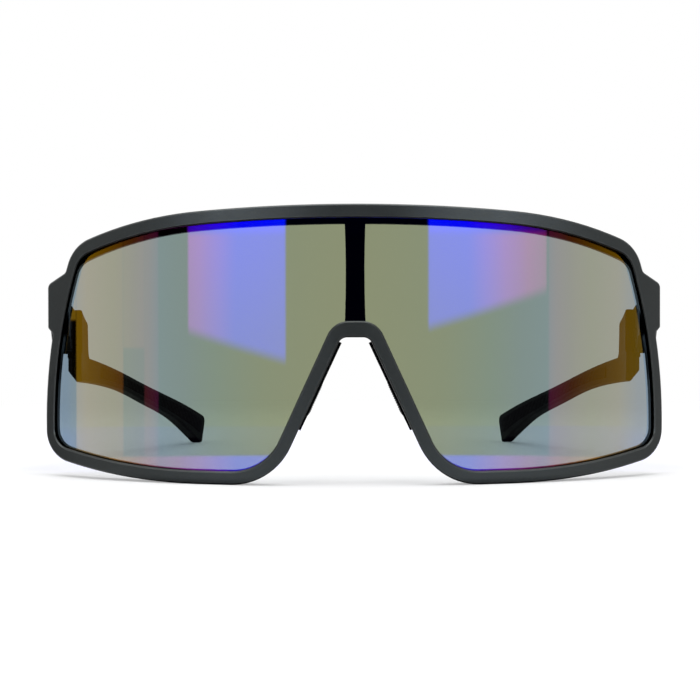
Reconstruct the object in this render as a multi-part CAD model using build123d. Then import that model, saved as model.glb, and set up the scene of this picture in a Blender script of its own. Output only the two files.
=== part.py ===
from build123d import *
import math
import os

# Wrap-around shield sunglasses, millimetres. +X is the wearer's left, +Y runs back along
# the temples, +Z is up. The origin is under the middle of the bounding box, on the surface
# that the lower rim and the temple tips rest on.

# Overall
overall_length = 150.0  # front apex to temple tip ends
front_height = 63.0
wrap_radius = 110.0  # radius of the front's outer face, about a vertical axis
front_y = -overall_length / 2
wrap_axis_y = front_y + wrap_radius

# Outline of the front, seen along Y
side_x = 74.4  # widest point of the rim
side_z = 13.0  # height of the widest point
side_r = 118.0
crown_r = 560.0  # flat middle of the brow
crown_half = 36.0  # half width of the flat middle
shoulder_r = 100.0  # brow from there out to the corners
belly_r = 144.0  # lower edge outboard of the resting land
land_x = 36.0  # outer end of the resting land
upper_corner_r = 9.0
lower_corner_r = 7.5
inner_corner_r = 15.0  # lower inner corners beside the nose
arch_z = 33.2  # underside of the nose arch
arch_half = 3.2  # half width of the nose gap at the arch, before rounding
arch_r = 2.2
leg_slope = 0.461  # outward run of the nose legs for each millimetre down

# Section of the rim
band = 3.0  # rim width along its face
arch_band = 3.65  # rim width at the top of the nose arch
side_foreshortening = 0.76  # width of a band at the sides, seen along Y
rim_depth = 5.4
front_lip = 1.2
groove_reach = 1.5  # how far the lens groove goes into the band
brow_ledge = 1.2  # how far the rear lip stands proud of the front lip under the brow
edge_bevel = 0.3

# Lens
lens_thickness = 1.8
lens_gap = 0.1

# Strut behind the lens
strut_width = 4.7
strut_waist = 4.2
strut_depth = 2.0

# Lugs
lug_outer_front_x = 73.85
lug_outer_rear_x = 74.5
lug_inner_x = 69.0
lug_inner_rear_x = 70.0
lug_notch_x = 72.2
lug_joins = ((68.9, 48.7, 1.5), (72.5, 34.2, 1.0))  # where its outline meets the rim's: x, z and rounding
lug_crest_x = 67.0  # start of the lug's sloping top, inside the rim
lug_crest_z = 49.7
lug_shoulder_z = 46.0  # where it meets the lug's outer face
lug_bottom_z = 35.6
lug_notch_z = 33.9
lug_top_round = 1.6
lug_bottom_round = 0.8
lug_rear_z = (41.7, 29.9)
lug_cap_depth = 2.2
lug_front_b = 29.4  # distances marked b are measured back from the front apex
lug_knee_b = 34.0  # the lug's underside runs level to here, then slopes down
lug_rear_b = 38.3

# Hinges
hinge_x = 71.8
hinge_b = 40.2
ear_r = 1.8
swing_gap = 0.1
fold_limit = 86.0  # degrees, the larger range of the two temples
lower_ear_z = (30.6, 32.9)
upper_ear_z = (35.4, 39.3)
screw_r = 0.7
bore_gap = 0.05
thread_gap = 0.01
screw_sunk = 0.4
screw_head_r = 1.2
screw_head_height = 0.9
nut_flats = 2.4
nut_height = 1.0

# Temples
temple_front_b = 38.4
temple_plan_b = (temple_front_b, 50.6, 64.0, 95.2, overall_length + 2.0)
temple_inner_x = (67.6, 67.8, 66.2, 60.5, 46.4)  # inner face at each of those distances
temple_outer_x = (74.5, 72.6, 70.2, 63.9, 49.7)
inner_edge_r = 0.6
outer_edge_r = 0.8
tip_overshoot = 0.71  # taken off again when the upper corner of the tip is rounded
facet_points = ((68.6, 38.4, 22.4), (71.6, 38.4, 26.1), (71.3, 58.0, 20.8))  # (x, b, z) on it
recess_top_z = 29.2  # the outer side is set back below the hinge, up to here
recess_plan = ((70.9, 38.0), (80.0, 38.0), (80.0, 58.0), (73.2, 58.0))  # (x, b)
panel_depth = 0.8
panel_proud = 0.15
panel_gap = 0.05

# Nose piece
saddle_depth = 1.6
saddle_gap = 0.05
saddle_low_z = 12.8
saddle_inset = 0.3  # how far the saddle's edges stay inside the rim's band
wing_middle_z = 22.0
wing_overhang = 0.6
wing_tilt = 15.0  # degrees that each wing opens outward towards the face
wing_thickness = 1.1
wing_length = 22.0
wing_reach = 10.0
pad_proud = 0.5  # how far the pad stands above the wing
pad_length = 9.6
pad_shift = -3.0
pad_gap = 0.05
peg_r = 0.6
peg_length = 1.6
peg_gap = 0.05

groove_depth = lens_thickness + 2 * lens_gap
leg_angle = math.atan(leg_slope)
os.makedirs("parts", exist_ok=True)


def polar(centre, radius, angle):
    """Point at an angle in radians from a centre."""
    return (centre[0] + radius * math.cos(angle), centre[1] + radius * math.sin(angle))


def arc(centre, start, end):
    """The shorter arc about a centre from start to end."""
    first = math.atan2(start[1] - centre[1], start[0] - centre[0])
    last = math.atan2(end[1] - centre[1], end[0] - centre[0])
    radius = math.dist(centre, start)
    return ThreePointArc(start, polar(centre, radius, (first + last) / 2), end)


def circles_meet(centre_a, radius_a, centre_b, radius_b, side):
    """Where two circles cross, on the side of the line of centres given by +1 or -1."""
    apart = math.dist(centre_a, centre_b)
    along = (radius_a**2 - radius_b**2 + apart**2) / (2 * apart)
    across = side * math.sqrt(radius_a**2 - along**2)
    ux = (centre_b[0] - centre_a[0]) / apart
    uy = (centre_b[1] - centre_a[1]) / apart
    return (centre_a[0] + along * ux - across * uy, centre_a[1] + along * uy + across * ux)


def near(shape, x, z, reach=0.6):
    """Corners of a flat shape close to (x, z) or its mirror image."""
    return [v for v in shape.vertices() if abs(abs(v.X) - x) < reach and abs(v.Y - z) < reach]


def nose_gap(inset):
    """Tapered gap over the nose, grown by inset into the lens area."""
    top = arch_z + inset * arch_band / band
    half_top = arch_half + (arch_z - top) * leg_slope + inset / math.cos(leg_angle)
    low = -10.0
    half_low = half_top + (top - low) * leg_slope
    corners = [(-half_low, low), (-half_top, top), (half_top, top), (half_low, low)]
    return make_face(Polyline(*corners, close=True)), half_top, top


def shield_face(inset, brow_inset=None):
    """Outline of the front, seen along Y, moved inward by inset."""
    brow = inset if brow_inset is None else brow_inset
    crown_c = (0, front_height - crown_r)
    lean = math.asin(crown_half / crown_r)
    crown_end = polar(crown_c, crown_r - brow, math.pi / 2 - lean)
    shoulder_c = polar(crown_c, crown_r - shoulder_r, math.pi / 2 - lean)
    side_c = (side_x - side_r, side_z)
    belly_c = (land_x, belly_r)
    side_in = side_r - inset * side_foreshortening
    upper = circles_meet(side_c, side_in, shoulder_c, shoulder_r - brow, -1)
    if upper[1] < side_z:
        upper = circles_meet(side_c, side_in, shoulder_c, shoulder_r - brow, 1)
    lower = circles_meet(side_c, side_in, belly_c, belly_r - inset, -1)
    if lower[0] < 0 or lower[1] > side_z:
        lower = circles_meet(side_c, side_in, belly_c, belly_r - inset, 1)
    land_end = (land_x, inset)
    crown = arc(crown_c, (-crown_end[0], crown_end[1]), crown_end)
    half = [
        arc(shoulder_c, crown_end, upper),
        arc(side_c, upper, lower),
        arc(belly_c, lower, land_end),
    ]
    other = [mirror(edge, about=Plane.YZ).edge() for edge in half]
    land = Line((-land_x, inset), land_end)
    whole = make_face([crown, land, *half, *other])
    gap, arch_x, arch_top = nose_gap(inset)
    face = Sketch() + whole - gap
    face = fillet(near(face, *upper), upper_corner_r - brow)
    face = fillet(near(face, *lower), lower_corner_r - inset)
    face = fillet(near(face, arch_x, arch_top), arch_r + inset)
    foot_x = arch_x + (arch_top - inset) * leg_slope
    return fillet(near(face, foot_x, inset), inner_corner_r - inset)


def along_y(sketch, b_from=-5.0, b_to=60.0):
    """Extrude an outline seen along Y between two distances back from the apex."""
    return extrude(Plane.XZ.offset(-(front_y + b_from)) * sketch, amount=b_from - b_to)


def shell(b_from, b_to):
    """Curved slab of the front between two depths behind its outer face."""
    ring = Cylinder(wrap_radius - b_from, 200) - Cylinder(wrap_radius - b_to, 200)
    return Pos(0, wrap_axis_y, 30) * ring


def slab(inset, b_from, b_to, brow_inset=None):
    """The front's outline, cut from a curved slab."""
    return along_y(shield_face(inset, brow_inset)) & shell(b_from, b_to)


def on_both_sides(solid):
    return [solid, mirror(solid, about=Plane.YZ)]


def hinge_post(radius, z_range, side=1):
    """Upright cylinder on a hinge axis."""
    height = z_range[1] - z_range[0]
    place = Pos(side * hinge_x, front_y + hinge_b, z_range[0])
    return place * Cylinder(radius, height, align=(Align.CENTER, Align.CENTER, Align.MIN))


def box_between(x_range, b_range, z_range):
    """Box from three ranges, with the middle one measured back from the apex."""
    size = [high - low for low, high in (x_range, b_range, z_range)]
    corner = Pos(x_range[0], front_y + b_range[0], z_range[0])
    return corner * Box(*size, align=(Align.MIN, Align.MIN, Align.MIN))


def lug_view():
    """Outward step of the rim outline at the +X lug, seen along Y."""
    return make_face(
        Polyline(
            (lug_inner_x - 4, lug_crest_z),
            (lug_crest_x, lug_crest_z),
            (lug_outer_front_x, lug_shoulder_z),
            (lug_outer_front_x, lug_bottom_z),
            (lug_notch_x, lug_notch_z),
            (lug_inner_x - 4, lug_notch_z),
            close=True,
        )
    )


def rim_outline():
    """Outline of the rim with its two lugs, seen along Y."""
    view = lug_view()
    face = shield_face(0) + view + mirror(view, about=Plane.YZ)
    face = fillet(near(face, lug_outer_front_x, lug_shoulder_z), lug_top_round)
    face = fillet(near(face, lug_outer_front_x, lug_bottom_z), lug_bottom_round)
    for x, z, radius in lug_joins:
        face = fillet(near(face, x, z), radius)
    return face


def quad(b, corners):
    """Four-sided face across Y at distance b, from its (x, z) corners."""
    return Plane.XZ.offset(-(front_y + b)) * make_face(Polyline(*corners, close=True))


def make_lug():
    """Body of the +X lug, tapering back from the rim to the hinge."""
    inner, outer = lug_inner_rear_x, lug_outer_rear_x
    high, low = lug_rear_z
    share = (lug_knee_b - lug_front_b) / (lug_rear_b - lug_front_b)
    knee_outer = lug_outer_front_x + share * (outer - lug_outer_front_x)
    knee_inner = lug_inner_x + share * (inner - lug_inner_x)
    knee_high = lug_shoulder_z + share * (high - lug_shoulder_z)
    front = [
        (lug_inner_x, lug_shoulder_z + 1.6),
        (lug_outer_front_x, lug_shoulder_z - 0.6),
        (lug_outer_front_x, lug_bottom_z + 0.2),
        (lug_inner_x, lug_notch_z),
    ]
    knee = [
        (knee_inner, knee_high + 0.8),
        (knee_outer, knee_high - 0.3),
        (knee_outer, lug_bottom_z - 0.4),
        (knee_inner, lug_notch_z - 0.4),
    ]
    rear = [(inner, high), (outer, high), (outer, low), (inner, low)]
    stations = zip((lug_front_b, lug_knee_b, lug_rear_b), (front, knee, rear))
    return loft([quad(b, corners) for b, corners in stations], ruled=True)


def make_ears():
    """The two hinge ears behind the lug on the +X side, still without their bores."""
    ears = None
    for z_range in (lower_ear_z, upper_ear_z):
        round_end = hinge_post(ear_r, z_range)
        web = box_between((hinge_x - ear_r, hinge_x + ear_r), (lug_rear_b - 0.5, hinge_b), z_range)
        ear = round_end + web
        ears = ear if ears is None else ears + ear
    return ears


def make_hinge_bores():
    """Screw clearance, head recess and nut pocket of the front's ears on the +X side."""
    through = hinge_post(screw_r + bore_gap, (20, 50))
    recess = hinge_post(screw_head_r + bore_gap, (screw_top_z() - screw_head_height - 0.02, 50))
    return through + recess + hexagon(nut_flats + 2 * bore_gap, 20, lower_ear_z[0] + 0.12 + nut_height - 20)


def make_strut():
    """Upright strut behind the lens, from the brow to the nose arch."""
    low = arch_z + arch_band - 0.8
    high = front_height - band - brow_ledge + 0.6
    middle = (low + high) / 2
    left = ThreePointArc((-strut_width / 2, low), (-strut_waist / 2, middle), (-strut_width / 2, high))
    right = mirror(left, about=Plane.YZ).edge()
    top = Line((-strut_width / 2, high), (strut_width / 2, high))
    foot = Line((-strut_width / 2, low), (strut_width / 2, low))
    face = make_face([left, right, top, foot])
    return along_y(face) & shell(rim_depth - strut_depth, rim_depth)


def peg_places():
    """Centre-line points (x, z) of the nose piece's three pegs in the rim band."""
    low_z = 17.0
    low_x = arch_half + (arch_z - low_z) * leg_slope + 0.5 * band / math.cos(leg_angle)
    return [(0, arch_z + 0.5 * arch_band), (low_x, low_z), (-low_x, low_z)]


def rim_back(x, depth=None):
    """Distance b of the curved slab surface at a given x and depth."""
    radius = wrap_radius - (rim_depth if depth is None else depth)
    return wrap_radius - math.sqrt(radius**2 - x**2)


def make_pegs(radius, length, extra=0.0):
    """Round pegs that run forward into the rear lip from behind it."""
    pegs = []
    for x, z in peg_places():
        back = rim_back(x)
        place = Pos(x, front_y + back - length, z) * Rot(-90, 0, 0)
        pegs.append(place * Cylinder(radius, length + extra, align=(Align.CENTER, Align.CENTER, Align.MIN)))
    return pegs


def on_outer_face(edge):
    """Whether an edge lies on the curved outer face of the front."""
    points = [edge @ t for t in (0.0, 0.25, 0.5, 0.75, 1.0)]
    return all(abs(math.hypot(p.X, p.Y - wrap_axis_y) - wrap_radius) < 0.02 for p in points)


def make_face_plate():
    """Front lip of the rim with its bevelled edges."""
    plate = along_y(rim_outline() - shield_face(band)) & shell(0, front_lip)
    return chamfer([edge for edge in plate.edges() if on_outer_face(edge)], edge_bevel)


def make_front_frame():
    frame = make_face_plate()
    frame += along_y(rim_outline() - shield_face(band)) & shell(front_lip, lug_cap_depth)
    frame += slab(0, lug_cap_depth, rim_depth) - slab(band, 0, rim_depth, band + brow_ledge)
    frame += on_both_sides(make_lug())
    frame -= slab(band - groove_reach, front_lip, front_lip + groove_depth)
    frame += make_strut()
    for ears, bores in zip(on_both_sides(make_ears()), on_both_sides(make_hinge_bores())):
        frame += ears
        frame -= bores
    for hole in make_pegs(peg_r + peg_gap, peg_length + 0.2, 1.0):
        frame -= hole
    return frame


def make_lens():
    edge_gap = band - groove_reach + lens_gap
    return slab(edge_gap, front_lip + lens_gap, front_lip + lens_gap + lens_thickness)


def plan_strip(inner_shift, outer_shift=None):
    """Plan of the +X temple, or of a layer along its inner face, as a tall solid.

    With one number the strip runs from the shifted inner face to the outer face. With two it
    is the layer between two shifts of the inner face.
    """
    y_values = [front_y + b for b in temple_plan_b]
    inner = [(x + inner_shift, y) for x, y in zip(temple_inner_x, y_values)]
    if outer_shift is None:
        outer = list(zip(temple_outer_x, y_values))
    else:
        outer = [(x + outer_shift, y) for x, y in zip(temple_inner_x, y_values)]
    edges = [
        Spline(*inner),
        Line(inner[-1], outer[-1]),
        Spline(*outer),
        Line(outer[0], inner[0]),
    ]
    return extrude(Pos(0, 0, -5) * make_face(edges), amount=60)


def arm_line(points):
    """Points given as (b, z), moved to the model's Y."""
    return [(front_y + b, z) for b, z in points]


def temple_profile():
    """Side view of a temple: a tall block at the hinge, a step, then the long arm."""
    step_foot = (51.4, 28.1)
    tip_top = (overall_length + tip_overshoot, 7.9)
    heel = (147.5, 0.0)
    heel_front = (146.0, 0.0)
    chin = (44.0, 22.3)
    top_points = [step_foot, (67.0, 26.15), (84.5, 23.1), (104.5, 18.9), (126.0, 14.3), tip_top]
    bottom_points = [heel_front, (136.0, 4.4), (126.0, 8.3), (104.5, 13.9), (84.5, 18.4), (69.5, 20.5), chin]
    top = Spline(*arm_line(top_points))
    bottom = Spline(*arm_line(bottom_points))
    front = Polyline(
        *arm_line([chin, (42.0, 22.3), (temple_front_b, 25.6), (temple_front_b, 41.6), (50.6, 37.0), step_foot])
    )
    end = Polyline(*arm_line([tip_top, heel, heel_front]))
    face = Sketch() + make_face([*front.edges(), top, *end.edges(), bottom])
    rounds = [
        (step_foot, 2.5),
        ((50.6, 37.0), 1.2),
        (tip_top, 2.0),
        ((42.0, 22.3), 1.0),
        (heel, 0.8),
        (heel_front, 2.0),
        (chin, 8.0),
    ]
    for (b, z), radius in rounds:
        spot = [v for v in face.vertices() if math.hypot(v.X - front_y - b, v.Y - z) < 0.05]
        face = fillet(spot, radius)
    return face


def panel_profile(inset):
    """Side view of the soft panel let into the arm's inner face, shrunk by inset."""
    top_points = [(62.0, 25.6), (84.5, 21.9), (104.5, 17.7), (126.0, 13.0), (147.3, 7.0)]
    bottom_points = [(145.9, 2.9), (126.0, 9.5), (104.5, 15.0), (84.5, 19.5), (62.0, 22.4)]
    top_points = [(b, z - inset) for b, z in top_points]
    bottom_points = [(b, z + inset) for b, z in bottom_points]
    top_points[0] = (top_points[0][0] + inset, top_points[0][1])
    bottom_points[-1] = (bottom_points[-1][0] + inset, bottom_points[-1][1])
    top_points[-1] = (top_points[-1][0] - inset, top_points[-1][1])
    bottom_points[0] = (bottom_points[0][0] - inset, bottom_points[0][1])
    top = Spline(*arm_line(top_points))
    bottom = Spline(*arm_line(bottom_points))
    front = Line(bottom @ 1, top @ 0)
    back = Line(top @ 1, bottom @ 0)
    face = Sketch() + make_face([top, back, bottom, front])
    return fillet(face.vertices(), 0.9)


def along_x(sketch):
    """Extrude a side view across the +X half."""
    return extrude(Plane.YZ.offset(30) * sketch, amount=60)


def temple_middle_x(y):
    """Middle of the temple's thickness at a given Y."""
    middles = [(i + o) / 2 for i, o in zip(temple_inner_x, temple_outer_x)]
    b = y - front_y
    spans = zip(temple_plan_b, temple_plan_b[1:], middles, middles[1:])
    for b_low, b_high, x_low, x_high in spans:
        if b <= b_high:
            break
    return x_low + (x_high - x_low) * (b - b_low) / (b_high - b_low)


def round_long_edges(temple, on_outside, radius):
    """Round the loop of edges on the outer or the inner face, behind the butt face."""
    loop = []
    for edge in temple.edges():
        middle = edge @ 0.5
        runs_across = abs((edge % 0.5).X) > 0.6
        behind_butt = middle.Y > front_y + temple_front_b + 0.05
        if not runs_across and behind_butt and (middle.X > temple_middle_x(middle.Y)) == on_outside:
            loop.append(edge)
    return fillet(loop, radius)


def swing_space(z_range):
    """Room that an ear needs inside the temple while the temple folds by a right angle."""
    reach = ear_r + swing_gap
    room = hinge_post(reach, z_range)
    room += box_between((60, hinge_x), (30, hinge_b + reach), z_range)
    return room + box_between((60, hinge_x + reach), (30, hinge_b), z_range)


def hinge_block():
    """Tall box around the hinge end of the +X temple."""
    return box_between((60, 80), (temple_front_b, 48), (10, 50))


def hinge_axis():
    """Axis of the +X hinge screw."""
    return Axis((hinge_x, front_y + hinge_b, 0), (0, 0, 1))


def round_butt():
    """Round front end of the +X temple, its seam turned away from the flat cuts."""
    return hinge_post(ear_r, (recess_top_z - 1, 50)).rotate(hinge_axis(), 60)


def folded_lug_room():
    """Room that the lug's rear end needs when the +X temple is folded to its limit."""
    gap = 0.8 * swing_gap
    taper = 0.4  # the lug widens inward by less than this over the room's length
    x_range = (lug_inner_rear_x - taper, lug_outer_rear_x + 5)
    lug = box_between(x_range, (30, lug_rear_b + gap), (lug_rear_z[1] - 0.4, lug_rear_z[0] + 0.4))
    return lug.rotate(hinge_axis(), -fold_limit)


def underside_facet():
    """Block outside the slanted facet under the hinge end of the +X temple."""
    corner, outer, back = [Vector(x, front_y + b, z) for x, b, z in facet_points]
    normal = (outer - corner).cross(back - corner).normalized()
    if normal.Z > 0:
        normal = -normal
    return Plane(origin=corner, z_dir=normal) * Box(80, 80, 20, align=(Align.CENTER, Align.CENTER, Align.MIN))


def outer_recess():
    """Wedge taken off the outer side of the +X temple, below its hinge."""
    plan = Polyline(*[(x, front_y + b) for x, b in recess_plan], close=True)
    return extrude(make_face(plan), amount=recess_top_z)


def make_temple():
    """The +X temple with its hinge tongue and the room for the front's ears."""
    temple = along_x(temple_profile()) & plan_strip(0)
    temple = round_long_edges(temple, False, inner_edge_r)
    temple = round_long_edges(temple, True, outer_edge_r)
    temple -= box_between((60, hinge_x), (30, hinge_b), (10, 50))
    temple += round_butt() & along_x(temple_profile()) & hinge_block()
    temple -= outer_recess()
    temple -= underside_facet()
    for low, high in (lower_ear_z, upper_ear_z):
        temple -= swing_space((low - swing_gap, high + swing_gap))
    tongue_z = (lower_ear_z[1] + swing_gap, upper_ear_z[0] - swing_gap)
    tongue = hinge_post(ear_r, tongue_z)
    tongue += box_between((hinge_x - ear_r, hinge_x + ear_r), (hinge_b, hinge_b + 3), tongue_z)
    temple += tongue
    temple -= folded_lug_room()
    temple -= hinge_post(screw_r + bore_gap, (20, 50))
    temple -= hinge_post(screw_head_r + 0.15, (upper_ear_z[1] - 0.5, 50))
    temple -= hinge_post(nut_flats / 2 + 0.35, (15, lower_ear_z[0] + 0.5))
    return temple - (along_x(panel_profile(0)) & plan_strip(-3, panel_depth))


def make_panel():
    """Soft panel let into the inner face of the +X temple."""
    return along_x(panel_profile(panel_gap)) & plan_strip(-panel_proud, panel_depth - panel_gap)


def screw_top_z():
    """Top of the hinge screws' heads."""
    return upper_ear_z[1] - screw_sunk


def make_hinge_screw():
    """Screw of the +X hinge, with a cross recess in its head."""
    head_z = (screw_top_z() - screw_head_height, screw_top_z())
    screw = hinge_post(screw_head_r, head_z)
    screw += hinge_post(screw_r, (lower_ear_z[0] + 0.1, head_z[0]))
    for turn in (0, 90):
        blade = Box(1.5, 0.32, 0.9)
        screw -= Pos(hinge_x, front_y + hinge_b, screw_top_z()) * Rot(0, 0, turn) * blade
    return screw


def hexagon(flats, z_low, height):
    """Upright hexagonal prism on the +X hinge axis."""
    sketch = Pos(hinge_x, front_y + hinge_b) * RegularPolygon(flats / 2, 6, major_radius=False)
    return extrude(Pos(0, 0, z_low) * sketch, amount=height)


def make_hinge_nut():
    nut = hexagon(nut_flats, lower_ear_z[0] + 0.1, nut_height)
    return nut - hinge_post(screw_r + thread_gap, (20, 40))


def nose_edge(z, inset=0.0):
    """Half width x of the nose gap at a height, moved outward across the leg by inset."""
    return arch_half + (arch_z - z) * leg_slope + inset / math.cos(leg_angle)


def wing_plane():
    """Plane on the nose side of the +X wing: x runs up the leg, y back, z to the nose."""
    start_z = wing_middle_z
    x = nose_edge(start_z, -wing_overhang)
    across = Vector(math.cos(leg_angle), 0, math.sin(leg_angle))
    up = Vector(-math.sin(leg_angle), 0, math.cos(leg_angle))
    tilt = math.radians(wing_tilt)
    inward = across * -math.cos(tilt) + Vector(0, 1, 0) * math.sin(tilt)
    back = rim_back(x)
    return Plane(origin=(x, front_y + back, start_z), x_dir=up, z_dir=inward)


def wing_outline(length, reach, shift, front, corner_r):
    """Rounded plate seen square on: length along the leg, reach back from the rim."""
    middle_y = front + reach / 2
    return Pos(shift, middle_y) * RectangleRounded(length, reach, corner_r)


def on_wing(sketch, low, high):
    """Plate between two distances from the wing's nose side, towards the nose."""
    return extrude(wing_plane().offset(low) * sketch, amount=high - low)


def pad_window(grow):
    """Opening in the wing that the soft pad is moulded through."""
    return Pos(pad_shift, 5.6) * SlotOverall(7.0 + 2 * grow, 2.6 + 2 * grow)


def make_wing():
    plate = on_wing(wing_outline(wing_length, wing_reach, 0, 0.3, 2.4), -wing_thickness, 0)
    root = on_wing(wing_outline(wing_length, 2.4, 0, -0.6, 0.5), -2.2, 0)
    behind_rim = Pos(0, wrap_axis_y, 30) * Cylinder(wrap_radius - rim_depth - saddle_gap, 200)
    return ((plate + root) & behind_rim) - on_wing(pad_window(pad_gap), -5, 5)


def saddle_edge(inset):
    """Nose gap grown by inset, with its two arch corners rounded."""
    gap, corner_x, corner_z = nose_gap(inset)
    return fillet(near(Sketch() + gap, corner_x, corner_z), arch_r + inset)


def make_nose_saddle():
    """Clip-on nose piece: a saddle behind the rim's nose band, two wings and three pegs."""
    outline = saddle_edge(band - saddle_inset) - saddle_edge(saddle_inset)
    outline &= Pos(0, saddle_low_z) * Rectangle(80, 60, align=(Align.CENTER, Align.MIN))
    saddle = along_y(outline) & shell(rim_depth + saddle_gap, rim_depth + saddle_gap + saddle_depth)
    for wing in on_both_sides(make_wing()):
        saddle += wing
    for peg in make_pegs(peg_r, peg_length, saddle_depth):
        saddle += peg
    return saddle


def make_pad():
    """Soft pad on the nose side of the +X wing, moulded through its window."""
    pad = on_wing(wing_outline(pad_length, wing_reach - 1.2, pad_shift, 0.9, 2.2), pad_gap, pad_proud)
    pad = fillet(pad.edges().group_by(Axis(wing_plane().origin, wing_plane().z_dir))[-1], 0.3)
    plug = on_wing(pad_window(0), -wing_thickness, 0.5)
    return pad + plug


def save(name, solid):
    export_step(solid, f"parts/{name}.step")


def save_pair(name, solid):
    """Write the wearer's left piece, at +X, and its mirror image."""
    save(f"{name}_left", solid)
    save(f"{name}_right", mirror(solid, about=Plane.YZ))


if __name__ == "__main__":
    save("front_frame", make_front_frame())
    save("shield_lens", make_lens())
    save("nose_saddle", make_nose_saddle())
    save_pair("nose_pad", make_pad())
    save_pair("temple", make_temple())
    save_pair("temple_panel", make_panel())
    save_pair("hinge_screw", make_hinge_screw())
    save_pair("hinge_nut", make_hinge_nut())
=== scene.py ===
import math

import bmesh
import bpy
import numpy as np
from mathutils import Matrix, Vector


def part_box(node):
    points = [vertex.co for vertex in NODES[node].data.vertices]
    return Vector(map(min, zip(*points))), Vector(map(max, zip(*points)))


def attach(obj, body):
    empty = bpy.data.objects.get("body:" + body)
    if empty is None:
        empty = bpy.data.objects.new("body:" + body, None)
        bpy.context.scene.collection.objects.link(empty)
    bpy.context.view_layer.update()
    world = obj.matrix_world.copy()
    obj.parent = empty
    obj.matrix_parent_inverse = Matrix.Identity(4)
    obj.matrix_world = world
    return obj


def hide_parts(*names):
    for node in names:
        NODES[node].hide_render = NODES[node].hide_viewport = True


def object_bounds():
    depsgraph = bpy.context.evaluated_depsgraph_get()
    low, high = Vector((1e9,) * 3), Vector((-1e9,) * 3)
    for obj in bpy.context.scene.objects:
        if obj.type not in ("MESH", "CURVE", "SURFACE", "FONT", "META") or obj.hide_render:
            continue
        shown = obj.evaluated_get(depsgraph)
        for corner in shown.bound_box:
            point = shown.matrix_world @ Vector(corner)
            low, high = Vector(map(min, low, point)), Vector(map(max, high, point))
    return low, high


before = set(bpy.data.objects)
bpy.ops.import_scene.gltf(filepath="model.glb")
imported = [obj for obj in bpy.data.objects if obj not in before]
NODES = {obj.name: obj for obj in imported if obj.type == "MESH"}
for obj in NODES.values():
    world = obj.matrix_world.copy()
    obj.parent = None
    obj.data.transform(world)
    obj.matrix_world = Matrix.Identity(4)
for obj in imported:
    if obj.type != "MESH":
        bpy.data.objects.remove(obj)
CAD_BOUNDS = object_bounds()

# Wrap-around shield sunglasses, in metres.
MM = 0.001
WRAP_RADIUS = 110.0 * MM  # outer face of the front
FRONT_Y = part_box("front_frame")[0].y
WRAP_AXIS = Vector((0.0, FRONT_Y + WRAP_RADIUS, 0.0))
SIDES = (("left", "left_arm", 1.0), ("right", "right_arm", -1.0))  # name, body, sign of X


# ---------------------------------------------------------------- shader helpers
class Shader:
    """Short ways to add and link nodes in one material or world."""

    def __init__(self, owner):
        owner.use_nodes = True
        self.tree = owner.node_tree
        self.tree.nodes.clear()

    def add(self, kind, inputs=None, **settings):
        node = self.tree.nodes.new("ShaderNode" + kind)
        for name, value in settings.items():
            setattr(node, name, value)
        for name, value in (inputs or {}).items():
            self.put(node.inputs[name], value)
        return node

    def put(self, socket, value):
        if isinstance(value, bpy.types.NodeSocket):
            self.tree.links.new(value, socket)
        else:
            socket.default_value = value

    def math(self, operation, a, b=0.0, clamp=False):
        node = self.add("Math", operation=operation, use_clamp=clamp)
        for socket, value in zip(node.inputs, (a, b)):
            self.put(socket, value)
        return node.outputs[0]

    def remap(self, value, low, high, to_low=0.0, to_high=1.0, smooth=True):
        kind = "SMOOTHSTEP" if smooth else "LINEAR"
        node = self.add("MapRange", interpolation_type=kind)
        for name, given in (
            ("Value", value),
            ("From Min", low),
            ("From Max", high),
            ("To Min", to_low),
            ("To Max", to_high),
        ):
            self.put(node.inputs[name], given)
        return node.outputs[0]

    def ramp(self, value, stops):
        """Colour ramp from (position, (r, g, b)) stops."""
        node = self.add("ValToRGB")
        self.put(node.inputs[0], value)
        band = node.color_ramp
        while len(band.elements) > 1:
            band.elements.remove(band.elements[-1])
        for i, (position, colour) in enumerate(stops):
            stop = band.elements[0] if i == 0 else band.elements.new(position)
            stop.position = position
            stop.color = (*colour, 1.0)
        return node.outputs[0]

    def mix(self, share, a, b):
        node = self.add("Mix", data_type="RGBA")
        self.put(node.inputs[0], share)
        for socket, value in ((node.inputs[6], a), (node.inputs[7], b)):
            self.put(socket, (*value, 1.0) if isinstance(value, tuple) else value)
        return node.outputs[2]

    def noise(self, scale, detail=2.0, roughness=0.5):
        place = self.add("TexCoord").outputs["Object"]
        settings = {"Vector": place, "Scale": scale, "Detail": detail, "Roughness": roughness}
        return self.add("TexNoise", settings).outputs["Fac"]

    def edge_highlight_mask(self, radius, gain):
        """0 on flat faces, up to 1 along edges: the mask of the painted paler highlight along the
        edges, where they are also made glossier.
        """
        rounded = self.add("Bevel", {"Radius": radius}, samples=6).outputs[0]
        plain = self.add("NewGeometry").outputs["Normal"]
        dot = self.add("VectorMath", operation="DOT_PRODUCT")
        self.put(dot.inputs[0], rounded)
        self.put(dot.inputs[1], plain)
        turned = self.math("SUBTRACT", 1.0, dot.outputs["Value"])
        return self.math("MULTIPLY", turned, gain, clamp=True)

    def finish(self, shader, kind="OutputMaterial"):
        self.put(self.add(kind).inputs["Surface"], shader)


def grey(value):
    return (value, value, value)


def cool_grey(value):
    return (value * 0.93, value, value * 1.03)


# Near-black colour of the painted shade in crevices and recesses.
CREVICE_PAINTED_SHADE = (0.0005, 0.0005, 0.0008)
GLOSS_TINT = (0.9, 1.0, 0.99, 1.0)


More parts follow.
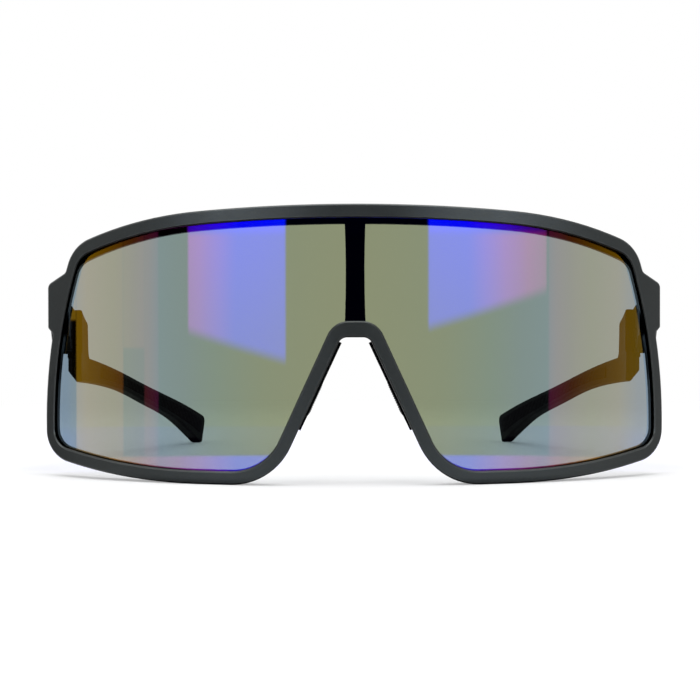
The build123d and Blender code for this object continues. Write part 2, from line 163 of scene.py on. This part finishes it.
def moulded_plastic(name, dark, light, roughness, grain, edge_highlight_grey, specular):
    """Matte moulded nylon: sandy texture, faint mottling, smoother edges painted paler as a highlight,
    crevices painted near-black as shade.
    """
    material = bpy.data.materials.new(name)
    s = Shader(material)
    sand = s.noise(grain, 3.0, 0.6)
    mottle = s.noise(90.0, 4.0)
    fleck = s.remap(sand, 0.42, 0.72)
    colour = s.mix(fleck, cool_grey(dark), cool_grey(light))
    colour = s.mix(s.remap(mottle, 0.35, 0.75, 0.0, 0.35), colour, cool_grey(dark * 0.7))
    edges = s.edge_highlight_mask(0.3 * MM, 9.0)
    # Painted highlight: the edges are painted paler, broken up by noise, and made a little glossier.
    edge_highlight_and_gloss = s.math("MULTIPLY", edges, s.remap(s.noise(420.0, 3.0), 0.3, 0.7, 0.45, 1.0))
    colour = s.mix(edge_highlight_and_gloss, colour, grey(edge_highlight_grey))
    rough = s.remap(mottle, 0.3, 0.7, roughness - 0.04, roughness + 0.05)
    rough = s.math("SUBTRACT", rough, s.math("MULTIPLY", edge_highlight_and_gloss, 0.1))
    bump = s.add("Bump", {"Strength": 0.55, "Distance": 0.025 * MM, "Height": sand})
    # Painted shade: ambient occlusion darkens the colour to near-black in crevices and recesses, and
    # takes the gloss away there too.
    painted_shade_ao = s.add("AmbientOcclusion", {"Distance": 2.5 * MM}, samples=6).outputs["AO"]
    painted_shade_ao = s.remap(painted_shade_ao, 0.45, 0.9)
    colour = s.mix(painted_shade_ao, CREVICE_PAINTED_SHADE, colour)
    surface = s.add(
        "BsdfPrincipled",
        {
            "Base Color": colour,
            "Roughness": rough,
            "Normal": bump.outputs[0],
            "Specular IOR Level": s.math("MULTIPLY", painted_shade_ao, specular),
            "Specular Tint": GLOSS_TINT,
        },
    )
    s.finish(surface.outputs[0])
    return material


def soft_rubber(name, dark, light, roughness, sheen=0.0, see_through=0.0, specular=0.5):
    """Moulded elastomer with a fine bloom."""
    material = bpy.data.materials.new(name)
    s = Shader(material)
    fine = s.noise(6500.0, 2.0)
    broad = s.noise(160.0, 4.0, 0.6)
    colour = s.mix(s.remap(broad, 0.3, 0.7), grey(dark), grey(light))
    colour = s.mix(s.remap(fine, 0.5, 0.75, 0.0, 0.3), colour, grey(light * 1.6))
    rough = s.remap(broad, 0.3, 0.7, roughness - 0.07, roughness + 0.07)
    bump = s.add("Bump", {"Strength": 0.4, "Distance": 0.015 * MM, "Height": fine})
    surface = s.add(
        "BsdfPrincipled",
        {
            "Base Color": colour,
            "Roughness": rough,
            "Normal": bump.outputs[0],
            "Sheen Weight": sheen,
            "Sheen Roughness": 0.5,
            "Transmission Weight": see_through,
            "Specular IOR Level": specular,
        },
    )
    s.finish(surface.outputs[0])
    return material


def brushed_steel(name):
    material = bpy.data.materials.new(name)
    s = Shader(material)
    lines = s.add("TexNoise", {"Scale": 900.0, "Detail": 4.0})
    stretch = s.add("Mapping")
    stretch.inputs["Scale"].default_value = (1.0, 1.0, 9.0)
    s.put(stretch.inputs["Vector"], s.add("TexCoord").outputs["Object"])
    s.put(lines.inputs["Vector"], stretch.outputs[0])
    line = lines.outputs["Fac"]
    colour = s.mix(line, (0.42, 0.42, 0.43), (0.66, 0.66, 0.67))
    bump = s.add("Bump", {"Strength": 0.3, "Distance": 0.01 * MM, "Height": line})
    rough = s.remap(line, 0.3, 0.7, 0.24, 0.4)
    surface = s.add(
        "BsdfPrincipled",
        {"Base Color": colour, "Roughness": rough, "Normal": bump.outputs[0], "Metallic": 1.0},
    )
    s.finish(surface.outputs[0])
    return material


# Thin-film mirror, by 1 - cos(angle from the normal): the colours it lets through and mirrors
PASSED = (
    (0.0, (0.262, 0.288, 0.176)),
    (0.03, (0.250, 0.288, 0.186)),
    (0.07, (0.226, 0.288, 0.222)),
    (0.11, (0.218, 0.284, 0.262)),
    (0.15, (0.220, 0.292, 0.288)),
    (0.165, (0.250, 0.292, 0.278)),
    (0.20, (0.262, 0.304, 0.268)),
    (0.23, (0.252, 0.305, 0.262)),
    (0.29, (0.240, 0.295, 0.285)),
    (0.35, (0.205, 0.280, 0.350)),
    (0.45, (0.200, 0.270, 0.360)),
    (1.0, (0.02, 0.02, 0.02)),
)
MIRRORED = (
    (0.0, (0.002, 0.008, 0.24)),
    (0.03, (0.001, 0.002, 0.29)),
    (0.052, (0.006, 0.001, 0.29)),
    (0.068, (0.048, 0.001, 0.25)),
    (0.090, (0.085, 0.001, 0.165)),
    (0.120, (0.092, 0.001, 0.075)),
    (0.146, (0.070, 0.004, 0.040)),
    (0.156, (0.090, 0.009, 0.030)),
    (0.190, (0.085, 0.020, 0.004)),
    (0.235, (0.130, 0.055, 0.001)),
    (0.300, (0.200, 0.100, 0.001)),
    (0.360, (0.190, 0.115, 0.010)),
    (0.450, (0.20, 0.16, 0.05)),
    (0.700, (0.40, 0.40, 0.32)),
    (1.0, (0.90, 0.90, 0.90)),
)
MIRROR_SHARE = 0.6  # of the mixed shader; the colours are divided by it to come out as listed


def scaled(stops, share):
    return [(position, tuple(c / share for c in colour)) for position, colour in stops]


def mirror_coat():
    """Outer face of the lens: tinted see-through body under a thin-film mirror."""
    material = bpy.data.materials.new("lens_mirror")
    s = Shader(material)
    facing = s.add("LayerWeight", {"Blend": 0.5}).outputs["Facing"]
    passed = s.ramp(facing, scaled(PASSED, 1 - MIRROR_SHARE))
    mirrored = s.ramp(facing, scaled(MIRRORED, MIRROR_SHARE))
    haze = s.remap(s.noise(45.0, 5.0, 0.6), 0.35, 0.75, 0.004, 0.018)
    clear = s.add("BsdfTransparent", {"Color": passed})
    gloss = s.add("BsdfGlossy", {"Color": mirrored, "Roughness": haze})
    both = s.add("MixShader", {0: MIRROR_SHARE, 1: clear.outputs[0], 2: gloss.outputs[0]})
    s.finish(both.outputs[0])
    return material


def clear_back():
    """Inner face of the lens: clear, with the weak reflection of bare polycarbonate."""
    material = bpy.data.materials.new("lens_back")
    s = Shader(material)
    facing = s.add("LayerWeight", {"Blend": 0.5}).outputs["Facing"]
    share = s.math("ADD", s.math("MULTIPLY", s.math("POWER", facing, 4.0), 0.6), 0.03)
    smear = s.remap(s.noise(60.0, 4.0, 0.6), 0.35, 0.75, 0.01, 0.04)
    clear = s.add("BsdfTransparent", {"Color": (1.0, 1.0, 1.0, 1.0)})
    gloss = s.add("BsdfGlossy", {"Color": (0.55, 0.62, 0.7, 1.0), "Roughness": smear})
    both = s.add("MixShader", {0: share, 1: clear.outputs[0], 2: gloss.outputs[0]})
    s.finish(both.outputs[0])
    return material


# ---------------------------------------------------------------- mesh helpers
def merged_copy(node, name):
    """A new object with a CAD node's mesh, its split corners joined again."""
    work = bmesh.new()
    work.from_mesh(NODES[node].data)
    bmesh.ops.remove_doubles(work, verts=work.verts, dist=1e-6)
    mesh = bpy.data.meshes.new(name)
    work.to_mesh(mesh)
    work.free()
    piece = bpy.data.objects.new(name, mesh)
    bpy.context.scene.collection.objects.link(piece)
    return piece


def paint(piece, *materials):
    """Give a piece these materials in place of what it has."""
    piece.data.materials.clear()
    for material in materials:
        piece.data.materials.append(material)


def repaint(node, material):
    for material_slot in NODES[node].material_slots:
        material_slot.material = material


def remesh(piece, voxel, rounds):
    """Even quads of one size over the whole piece, with its corners slightly softened."""
    solid = piece.modifiers.new("even", "REMESH")
    solid.mode = "VOXEL"
    solid.voxel_size = voxel
    soft = piece.modifiers.new("soft", "SMOOTH")
    soft.factor = 0.5
    soft.iterations = rounds
    bpy.context.view_layer.update()
    result = piece.evaluated_get(bpy.context.evaluated_depsgraph_get())
    baked = bpy.data.meshes.new_from_object(result)
    piece.modifiers.clear()
    piece.data = baked
    baked.shade_smooth()


def per_vertex(mesh, quantity):
    """Array of "co" (places) or "normal" of all vertices."""
    flat = np.empty(len(mesh.vertices) * 3)
    mesh.vertices.foreach_get(quantity, flat)
    return flat.reshape(-1, 3)


def store(mesh, places):
    mesh.vertices.foreach_set("co", places.ravel())
    mesh.update()


# ---------------------------------------------------------------- lens
OUTER, INNER, RIM = 0, 1, 2  # material slots of the lens
LENS_HALF_DEGREES = 44
LENS_ROWS = 24


def wrap_distance(place):
    """Distance of a point from the upright axis that the front is wrapped around."""
    return math.hypot(place.x, place.y - WRAP_AXIS.y)


def slice_mesh(work, place, direction):
    """Cut all faces of a mesh along a plane."""
    cells = work.verts[:] + work.edges[:] + work.faces[:]
    bmesh.ops.bisect_plane(work, geom=cells, dist=1e-7, plane_co=place, plane_no=direction)


def round_normals(mesh):
    """Exact shading normals on the two cylindrical faces, so that reflections run true."""
    wanted = []
    for face in mesh.polygons:
        for corner in face.loop_indices:
            place = mesh.vertices[mesh.loops[corner].vertex_index].co
            radial = Vector((place.x, place.y - WRAP_AXIS.y, 0.0)).normalized()
            wanted.append({OUTER: radial, INNER: -radial}.get(face.material_index, face.normal.copy()))
    mesh.normals_split_custom_set(wanted)


def make_lens():
    """Fine regular mesh of the shield, each face exactly on its cylinder."""
    piece = merged_copy("shield_lens", "lens_shield")
    low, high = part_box("shield_lens")
    outer_r = WRAP_AXIS.y - low.y
    work = bmesh.new()
    work.from_mesh(piece.data)
    inner_r = min(wrap_distance(vert.co) for vert in work.verts)
    middle_r = (outer_r + inner_r) / 2
    step = math.radians(1.0)
    for k in range(-LENS_HALF_DEGREES, LENS_HALF_DEGREES + 1):
        slice_mesh(work, WRAP_AXIS, (math.cos(k * step), math.sin(k * step), 0.0))
    for k in range(1, LENS_ROWS):
        slice_mesh(work, (0, 0, low.z + (high.z - low.z) * k / LENS_ROWS), (0, 0, 1))
    for vert in work.verts:
        radius = wrap_distance(vert.co)
        wanted = outer_r if radius > middle_r else inner_r
        if abs(radius - wanted) < 0.1 * MM:
            vert.co.x *= wanted / radius
            vert.co.y = WRAP_AXIS.y + (vert.co.y - WRAP_AXIS.y) * wanted / radius
    for face in work.faces:
        radii = [wrap_distance(vert.co) for vert in face.verts]
        outside, inside = min(radii) > middle_r, max(radii) < middle_r
        face.material_index = OUTER if outside else INNER if inside else RIM
        face.smooth = True
    for edge in work.edges:
        kinds = {face.material_index for face in edge.link_faces}
        edge.smooth = len(kinds) == 1
    paint(piece, mirror_coat(), clear_back(), soft_rubber("lens_edge", 0.02, 0.05, 0.35))
    work.to_mesh(piece.data)
    work.free()
    round_normals(piece.data)
    return piece


lens = make_lens()
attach(lens, "front")
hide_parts("shield_lens")


# ---------------------------------------------------------------- soft parts
PAD_VOXEL = 0.11 * MM  # mesh sizes that are fine enough for the ribs and grooves
PANEL_VOXEL = 0.17 * MM
RIB_PITCH = 0.5 * MM
RIB_DEPTH = 0.14 * MM
GROOVE_PITCH = 2.4 * MM
GROOVE_DEPTH = 0.11 * MM


def rise(values, start, length):
    """0 before start, 1 after start + length, a straight rise between."""
    return np.clip((values - start) / length, 0, 1)


def make_nose_pad(side, sign):
    """Ribbed soft pad: grooves run across the leg of the nose gap."""
    piece = merged_copy("nose_pad_" + side, "soft_nose_pad_" + side)
    remesh(piece, PAD_VOXEL, 4)
    mesh = piece.data
    places = per_vertex(mesh, "co")
    outward = per_vertex(mesh, "normal")
    height = places[:, 2]
    toward_nose = np.clip(-sign * outward[:, 0] * 1.6, 0, 1)
    ripple = 0.5 + 0.5 * np.cos(2 * np.pi * height / RIB_PITCH)
    margin = rise(height, height.min() + 1.2 * MM, MM) * rise(-height, 1.0 * MM - height.max(), MM)
    depth = RIB_DEPTH * ripple * margin * toward_nose
    store(mesh, places - outward * depth[:, None])
    return piece


def make_panel(side, sign):
    """Soft inlay of a temple, with slanted grip grooves."""
    piece = merged_copy("temple_panel_" + side, "soft_temple_panel_" + side)
    remesh(piece, PANEL_VOXEL, 3)
    mesh = piece.data
    places = per_vertex(mesh, "co")
    outward = per_vertex(mesh, "normal")
    back = places[:, 1]
    inner = np.clip(-sign * outward[:, 0] * 2.0 - 0.6, 0, 1)
    along = back + 0.8 * places[:, 2]
    groove = np.clip(np.cos(2 * np.pi * along / GROOVE_PITCH) * 3.0 - 2.0, 0, 1)
    margin = rise(back, back.min() + 4 * MM, 6 * MM) * rise(-back, 2.5 * MM - back.max(), 2 * MM)
    depth = GROOVE_DEPTH * groove * inner * margin
    store(mesh, places - outward * depth[:, None])
    return piece


pad_rubber = soft_rubber("pad_rubber", 0.055, 0.12, 0.55, sheen=0.25, see_through=0.12)
panel_rubber = soft_rubber("panel_rubber", 0.0015, 0.004, 0.62, specular=0.04)
for side, arm, sign in SIDES:
    pad = make_nose_pad(side, sign)
    paint(pad, pad_rubber)
    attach(pad, "front")
    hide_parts("nose_pad_" + side)
    panel = make_panel(side, sign)
    paint(panel, panel_rubber)
    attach(panel, arm)
    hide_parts("temple_panel_" + side)

# ---------------------------------------------------------------- CAD nodes that stay
frame_plastic = moulded_plastic("frame_plastic", 0.003, 0.011, 0.36, 4200.0, 0.06, 0.55)
saddle_plastic = moulded_plastic("saddle_plastic", 0.002, 0.006, 0.40, 5200.0, 0.015, 0.35)
temple_plastic = moulded_plastic("temple_plastic", 0.0025, 0.007, 0.5, 5200.0, 0.015, 0.05)
steel = brushed_steel("steel")
repaint("front_frame", frame_plastic)
repaint("nose_saddle", saddle_plastic)
for side, _, _ in SIDES:
    repaint("temple_" + side, temple_plastic)
    repaint("hinge_screw_" + side, steel)
    repaint("hinge_nut_" + side, steel)


# ---------------------------------------------------------------- studio
LOW = -1.5  # slope at the foot of the walls of the tent
TALL = 3.5  # their height, as slope
BOX_TOP = 0.6  # height of a soft box, as slope
TENT_SIDE = 84.9  # azimuth in degrees where the side walls of the tent meet its front
COOL_STRIP = ((0.068, 0.12, 0.003), (-0.82, 0.97, 0.01))  # low, high, soft: slope, azimuth
COOL_COLOUR = (0.15, 0.5, 1.25)
DARKEST = 0.006


def make_world():
    """White tent behind and at both sides, dark in front, with two soft boxes there.

    A direction is given by its azimuth from the front, in degrees, and its slope, the rise
    for each metre along the floor. They are those that the lens mirrors towards the camera.
    """
    world = bpy.data.worlds.new("studio")
    bpy.context.scene.world = world
    s = Shader(world)
    direction = s.add("SeparateXYZ", {0: s.add("TexCoord").outputs["Generated"]})
    x, y, z = direction.outputs
    flat = s.math("SQRT", s.math("ADD", s.math("MULTIPLY", x, x), s.math("MULTIPLY", y, y)))
    slope = s.math("DIVIDE", z, s.math("MAXIMUM", flat, 1e-4))
    azimuth = s.math("ARCTAN2", x, s.math("MULTIPLY", y, -1.0))

    def between(value, low, high, soft):
        rise = s.remap(value, low - soft, low + soft)
        fall = s.remap(value, high - soft, high + soft, 1.0, 0.0)
        return s.math("MULTIPLY", rise, fall)

    def panel(az_low, az_high, slope_at_low, slope_at_high, top, strength, soft=0.4, fade=0.0012):
        """Bright panel between two azimuths, with a sloping lower edge."""
        a0, a1 = math.radians(az_low), math.radians(az_high)
        edge = s.remap(azimuth, a0, a1, slope_at_low, slope_at_high, smooth=False)
        above = s.math("SUBTRACT", slope, edge)
        upright = between(above, 0.0, top, fade)
        sideways = between(azimuth, a0, a1, math.radians(soft))
        return s.math("MULTIPLY", s.math("MULTIPLY", upright, sideways), strength)

    soft_box = s.remap(slope, 0.0, 0.066, 1.6, 2.1, smooth=False)
    soft_box = s.math("ADD", soft_box, s.remap(slope, 0.066, 0.078, 0.0, 0.5))
    soft_box = s.math("ADD", soft_box, s.remap(slope, 0.10, 0.16, 0.0, 2.0))
    light = panel(-46.7, -18.7, 0.0052, -0.0143, BOX_TOP, soft_box, 0.5, 0.005)
    for extra in (
        panel(20.6, 55.3, 0.0071, 0.0312, BOX_TOP, soft_box, 0.5, 0.005),
        panel(-60.5, -56.0, LOW, LOW, 3.0, 0.42, 0.3),
        panel(-67.6, -60.5, -0.006, -0.006, 1.2, 0.55, 0.3),
        panel(-TENT_SIDE, -67.6, LOW, LOW, TALL, 0.66),
        panel(-110.0, -TENT_SIDE, 0.012, 0.012, TALL, 0.66),
        panel(-179.0, -110.0, LOW, LOW, TALL, 0.75),
        panel(56.0, 179.0, LOW, LOW, TALL, 0.52),
        panel(-TENT_SIDE, TENT_SIDE, -0.25, -0.25, 0.174, 1.4),  # bright strip across the floor
        panel(-TENT_SIDE, TENT_SIDE, -6.0, -6.0, 5.75, 0.15),  # dim floor nearer by
        s.remap(z, 0.6, 0.85, 0.0, 1.3),  # overhead
        DARKEST,
    ):
        light = s.math("MAXIMUM", light, extra)
    seen = s.add("LightPath").outputs["Is Camera Ray"]
    cool = s.math("MULTIPLY", between(slope, *COOL_STRIP[0]), between(azimuth, *COOL_STRIP[1]))
    tint = s.mix(cool, (1.0, 1.0, 1.0), COOL_COLOUR)
    tent = s.add("Background", {"Color": tint, "Strength": light})
    white = s.add("Background", {"Color": (1.0, 1.0, 1.0, 1.0), "Strength": 1.0})
    both = s.add("MixShader", {0: seen, 1: tent.outputs[0], 2: white.outputs[0]})
    s.finish(both.outputs[0], "OutputWorld")


FLOOR_HALF = 1.4
FLOOR_DROP = 0.05 * MM  # just under the glasses
PAPER_REACH = (0.12, 0.40)  # paper within the first distance, plain white beyond the second
COOL_PATCH_SIDE = (0.085, 0.115)  # the cooler light under the lens fades out between these
COOL_PATCH_FRONT = (-0.045, -0.02)
COOL_PATCH_BACK = (0.155, 0.165)


def make_floor():
    """Pale floor, cooler in tint and in its painted glow under the lens, that runs out to plain white
    away from the object.
    """
    mesh = bpy.data.meshes.new("floor")
    corners = [(x * FLOOR_HALF, y * FLOOR_HALF, 0) for x, y in ((-1, -1), (1, -1), (1, 1), (-1, 1))]
    mesh.from_pydata(corners, [], [(0, 1, 2, 3)])
    floor = bpy.data.objects.new("floor", mesh)
    floor.location.z = -FLOOR_DROP
    bpy.context.scene.collection.objects.link(floor)
    material = bpy.data.materials.new("floor")
    s = Shader(material)
    place = s.add("NewGeometry").outputs["Position"]
    away = s.add("VectorMath", operation="LENGTH")
    s.put(away.inputs[0], place)
    far = s.remap(away.outputs["Value"], *PAPER_REACH, 0.35, 1.0)
    x, y, _ = s.add("SeparateXYZ", {0: place}).outputs
    across = s.remap(s.math("ABSOLUTE", x), *COOL_PATCH_SIDE, 1.0, 0.0)
    inside = s.math("MULTIPLY", across, s.remap(y, *COOL_PATCH_FRONT))
    cool_glow_patch = s.math("MULTIPLY", inside, s.remap(y, *COOL_PATCH_BACK, 1.0, 0.0))
    # Painted light: near the glasses the floor partly glows, bluish in the patch under the lens;
    # further out the glow takes over to give plain white.
    glow = s.mix(cool_glow_patch, (1.0, 1.0, 1.0), (1.0, 1.0, 1.22))
    paper = s.add("BsdfDiffuse", {"Color": s.mix(cool_glow_patch, (0.90, 0.90, 0.91), (0.84, 0.85, 0.96))})
    white = s.add("Emission", {"Color": glow, "Strength": 1.0})
    pale = s.add("MixShader", {0: far, 1: paper.outputs[0], 2: white.outputs[0]})
    s.finish(pale.outputs[0])
    mesh.materials.append(material)
    floor.visible_glossy = False


def make_lamp(name, place, target, size, power):
    data = bpy.data.lights.new(name, "AREA")
    data.shape = "RECTANGLE"
    data.size, data.size_y = size
    data.energy = power
    lamp = bpy.data.objects.new(name, data)
    lamp.location = place
    lamp.rotation_euler = (Vector(target) - Vector(place)).to_track_quat("-Z", "Y").to_euler()
    bpy.context.scene.collection.objects.link(lamp)


CAMERA_LENS = 79.2  # focal length for a sensor 36 wide
CAMERA_DISTANCE = 0.343  # from the front of the glasses
CAMERA_HEIGHT = 0.033
CAMERA_ORBIT = math.radians(-0.45)
CAMERA_TURN = math.radians(0.2)
CAMERA_DIP = math.radians(0.435)
CAMERA_ROLL = math.radians(-0.09)


def make_camera():
    data = bpy.data.cameras.new("camera")
    data.sensor_width = 36.0
    data.lens = CAMERA_LENS
    data.clip_start = 0.01
    camera = bpy.data.objects.new("camera", data)
    apex = Vector((0.0, CAD_BOUNDS[0][1], CAMERA_HEIGHT))
    outward = Vector((math.sin(CAMERA_ORBIT), -math.cos(CAMERA_ORBIT), 0.0))
    spot = apex + outward * CAMERA_DISTANCE
    turn = Matrix.Rotation(CAMERA_ORBIT + CAMERA_TURN, 4, "Z")
    tilt = Matrix.Rotation(math.radians(90.0) - CAMERA_DIP, 4, "X")
    roll = Matrix.Rotation(CAMERA_ROLL, 4, "Z")
    camera.matrix_world = Matrix.Translation(spot) @ turn @ tilt @ roll
    bpy.context.scene.collection.objects.link(camera)
    bpy.context.scene.camera = camera


make_world()
make_floor()
make_lamp("top", (0.0, -0.10, 0.75), (0.0, 0.0, 0.0), (0.7, 0.5), 3.0)
make_camera()
bpy.context.scene.view_settings.view_transform = "Standard"
bpy.context.scene.view_settings.look = "None"
